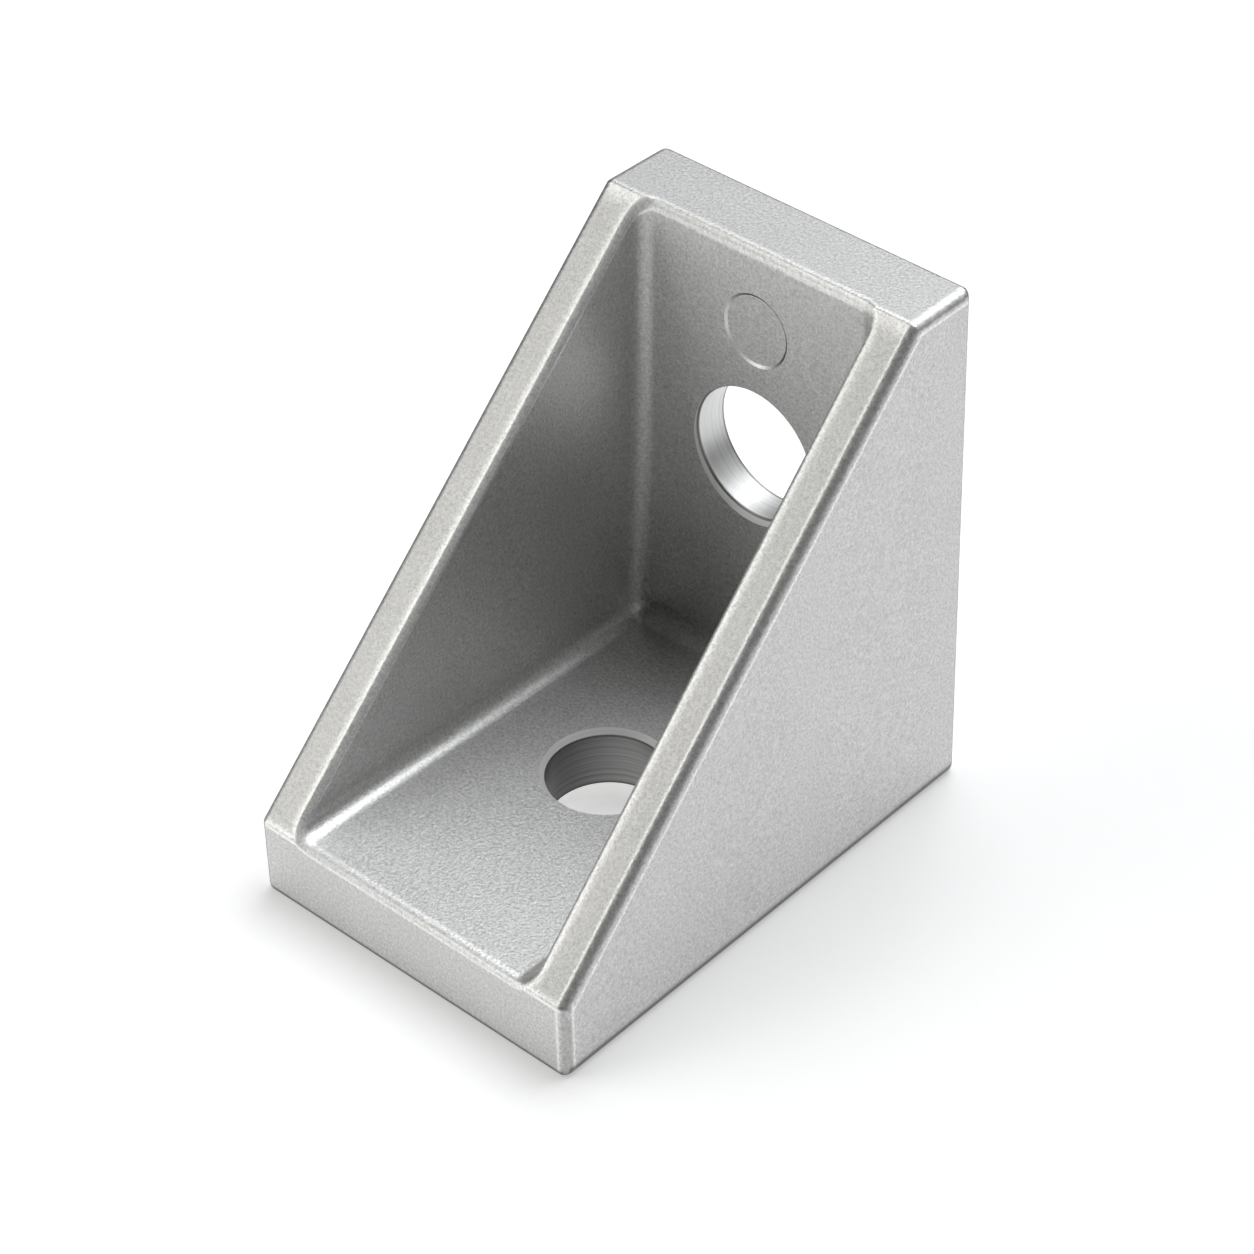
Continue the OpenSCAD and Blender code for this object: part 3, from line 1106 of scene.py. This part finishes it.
@dataclass
class Bracket:
    """The whole bracket: the casting with its bores, reliefs and ejector mark."""

    casting: GussetCasting
    mounts: dict[str, dict]
    relief_width: float = 18.0 * MM
    base_relief_length: float = 20.0 * MM
    base_relief_depth: float = 1.3 * MM
    back_relief_height: float = 22.0 * MM
    back_relief_depth: float = 3.4 * MM
    mark_height: float = 33.8 * MM
    base_chamfer: float = 0.33 * MM
    upright_chamfer: float = 0.2 * MM

    def mount(self, side: Side) -> tuple[Vector, float]:
        """The place and the radius of a plate's bore, from the frame's record."""
        entry = self.mounts[side.value]
        return Vector(entry["pos_m"]), entry["dims"]["r_mm"] * MM

    def base_bore(self) -> bpy.types.Object:
        """The cutter of the bore through the base plate, whose turned wall has painted shade: dark, and darkest
        at its sides.
        """
        form = self.casting
        place, radius = self.mount(Side.BASE)
        mouth = Vector((0, place.y, form.base_thickness))
        bore = TurnedBore(
            Side.BASE.value, mouth, Vector((0, 0, 1)), radius, form.base_thickness, self.base_chamfer,
        )
        # The dark wall colour, its side_shade and the line at its end are painted shade
        finish = TurnedFinish(
            bore, end=bore.depth - self.base_relief_depth, groove=0.5 * MM,
            colour=(0.33, 0.33, 0.325), coarse_share=0.4, roughness=0.45, side_shade=0.6,
        )
        return bore.cutter(finish.material())

    def upright_bore(self) -> bpy.types.Object:
        """The cutter of the bore through the upright, with its bright turned wall."""
        form = self.casting
        place, radius = self.mount(Side.UPRIGHT)
        mouth = Vector((0, form.inner_face(place.z), place.z))
        bore = TurnedBore(
            Side.UPRIGHT.value, mouth, Vector((0, -1, 0)), radius, form.back - mouth.y, self.upright_chamfer,
        )
        finish = TurnedFinish(
            bore, end=bore.depth - self.back_relief_depth, groove=self.upright_chamfer,
            colour=(0.8, 0.8, 0.8), coarse_share=0.15, roughness=0.48,
        )
        return bore.cutter(finish.material())

    def build(self) -> bpy.types.Object:
        """Makes and dresses the bracket."""
        form = self.casting
        skin = CastSkin().material()
        body = form.build()
        body.data.materials.clear()
        body.data.materials.append(skin)
        base_place = Vector((0, self.mount(Side.BASE)[0].y, 0))
        back_place = Vector((0, form.back, self.mount(Side.UPRIGHT)[0].z))
        mark_place = Vector((0, form.inner_face(self.mark_height), self.mark_height))
        lean_out = Vector((0, -math.cos(form.face_lean), math.sin(form.face_lean)))
        carve(body, [
            CoredRelief("base_relief", base_place, Vector((0, 0, -1)), self.relief_width,
                        self.base_relief_length, self.base_relief_depth).cutter(skin),
            CoredRelief("back_relief", back_place, Vector((0, 1, 0)), self.relief_width,
                        self.back_relief_height, self.back_relief_depth).cutter(skin),
            EjectorMark(mark_place, lean_out).cutter(skin),
            self.base_bore(),
            self.upright_bore(),
        ])
        form.finish_surface(body)
        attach(body, "root")
        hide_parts("bracket")
        LOG.info("bracket: %d faces", len(body.data.polygons))
        return body


def outward_way(turn: float, rise: float) -> Vector:
    """The direction from the bracket to something round it, by its turn from the front and its rise."""
    return Vector((math.sin(turn) * math.cos(rise), -math.cos(turn) * math.cos(rise), math.sin(rise)))


@dataclass(frozen=True)
class ViewPoint:
    """Where the camera stands, given as a turn and a height round a target on the bracket."""

    azimuth: float = math.radians(43.72)
    elevation: float = math.radians(38.64)
    roll: float = math.radians(-1.623)
    target: Point = (1.249 * MM, 0.0, 18.35 * MM)
    distance: float = 263.5 * MM
    pixels_per_metre: float = 15.3 / MM
    sensor: float = 36.0
    nearest: float = 0.01
    farthest: float = 10.0

    def place(self) -> bpy.types.Object:
        """Makes the camera and turns it towards the target.

        Returns:
            The camera, already set as the scene's camera.
        """
        back = outward_way(self.azimuth, self.elevation)
        right = (-back).cross(Vector((0, 0, 1))).normalized()
        up = right.cross(-back)
        rolled_right = math.cos(self.roll) * right + math.sin(self.roll) * up
        rolled_up = -math.sin(self.roll) * right + math.cos(self.roll) * up
        data = bpy.data.cameras.new("camera")
        data.sensor_width = self.sensor
        data.lens = self.sensor * self.pixels_per_metre * self.distance / PHOTO_SIDE
        data.clip_start = self.nearest
        data.clip_end = self.farthest
        camera = bpy.data.objects.new("camera", data)
        turn = Matrix((rolled_right, rolled_up, back)).transposed().to_4x4()
        camera.matrix_world = Matrix.Translation(Vector(self.target) + self.distance * back) @ turn
        bpy.context.scene.collection.objects.link(camera)
        bpy.context.scene.camera = camera
        return camera


COOL = (0.965, 0.985, 1.0)
WARM = (1.0, 0.99, 0.955)


@dataclass(frozen=True)
class Softbox:
    """A square lamp that faces the bracket."""

    name: str
    azimuth: float
    elevation: float
    power: float
    distance: float = 0.5
    size: float = 0.35
    colour: Colour = (1.0, 1.0, 1.0)

    def hang(self, target: Vector) -> bpy.types.Object:
        """Hangs the lamp and turns it to the target."""
        back = outward_way(math.radians(self.azimuth), math.radians(self.elevation))
        data = bpy.data.lights.new(self.name, "AREA")
        data.size = self.size
        data.energy = self.power
        data.color = self.colour
        lamp = bpy.data.objects.new(self.name, data)
        lamp.location = target + self.distance * back
        lamp.rotation_mode = "QUATERNION"
        lamp.rotation_quaternion = (-back).to_track_quat("-Z", "Y")
        bpy.context.scene.collection.objects.link(lamp)
        return lamp


@dataclass
class Studio:
    """The pale floor, the surrounding light and the lamps."""

    floor_side: float = 3.0
    floor_colour: Colour = (0.9, 0.9, 0.9)
    floor_roughness: float = 0.9
    floor_glow: float = 0.4
    lamp_aim: Point = (0.0, 0.0, 20 * MM)
    lamps: tuple[Softbox, ...] = (
        Softbox("back_high", 180, 68, 1.48, colour=COOL),
        Softbox("front_left", 315, 40, 0.5, colour=WARM),
        Softbox("front_left_low", 315, 12, 0.4, colour=WARM),
        Softbox("right_back", 135, 40, 0.21),
        Softbox("back_left", 225, 40, 0.22),
        Softbox("left_high", 240, 68, 0.18, colour=COOL),
    )

    def set_up(self) -> None:
        """Lays the floor and switches the light on."""
        side = self.floor_side
        corners = [(-side, -side, 0), (side, -side, 0), (side, side, 0), (-side, side, 0)]
        mesh = bpy.data.meshes.new("floor")
        mesh.from_pydata(corners, [], [(0, 1, 2, 3)])
        floor = link("floor", mesh)
        paint, build = NodeBench.for_material("floor_paint")
        build.surface({
            "Base Color": (*self.floor_colour, 1),
            "Roughness": self.floor_roughness,
            "Emission Color": (1, 1, 1, 1),
            "Emission Strength": self.floor_glow,
        })
        mesh.materials.append(paint)
        world = bpy.data.worlds.new("studio")
        world.use_nodes = True
        sky = world.node_tree.nodes["Background"]
        sky.inputs["Color"].default_value = (0, 0, 0, 1)
        bpy.context.scene.world = world
        bpy.context.scene.view_settings.view_transform = "Standard"
        for lamp in self.lamps:
            lamp.hang(Vector(self.lamp_aim))
        LOG.info("studio: %d lamps", len(self.lamps))


def main() -> None:
    """Builds the bracket, the studio and the camera."""
    logging.basicConfig(level=logging.INFO, format="%(name)s: %(message)s")
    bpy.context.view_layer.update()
    low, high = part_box("bracket")
    ViewPoint().place()
    Studio().set_up()
    casting = GussetCasting(length=high.y - low.y, height=high.z - low.z)
    Bracket(casting, {mount["name"]: mount for mount in frame["record"]["mounts"]}).build()


if __name__ == "__main__":
    main()
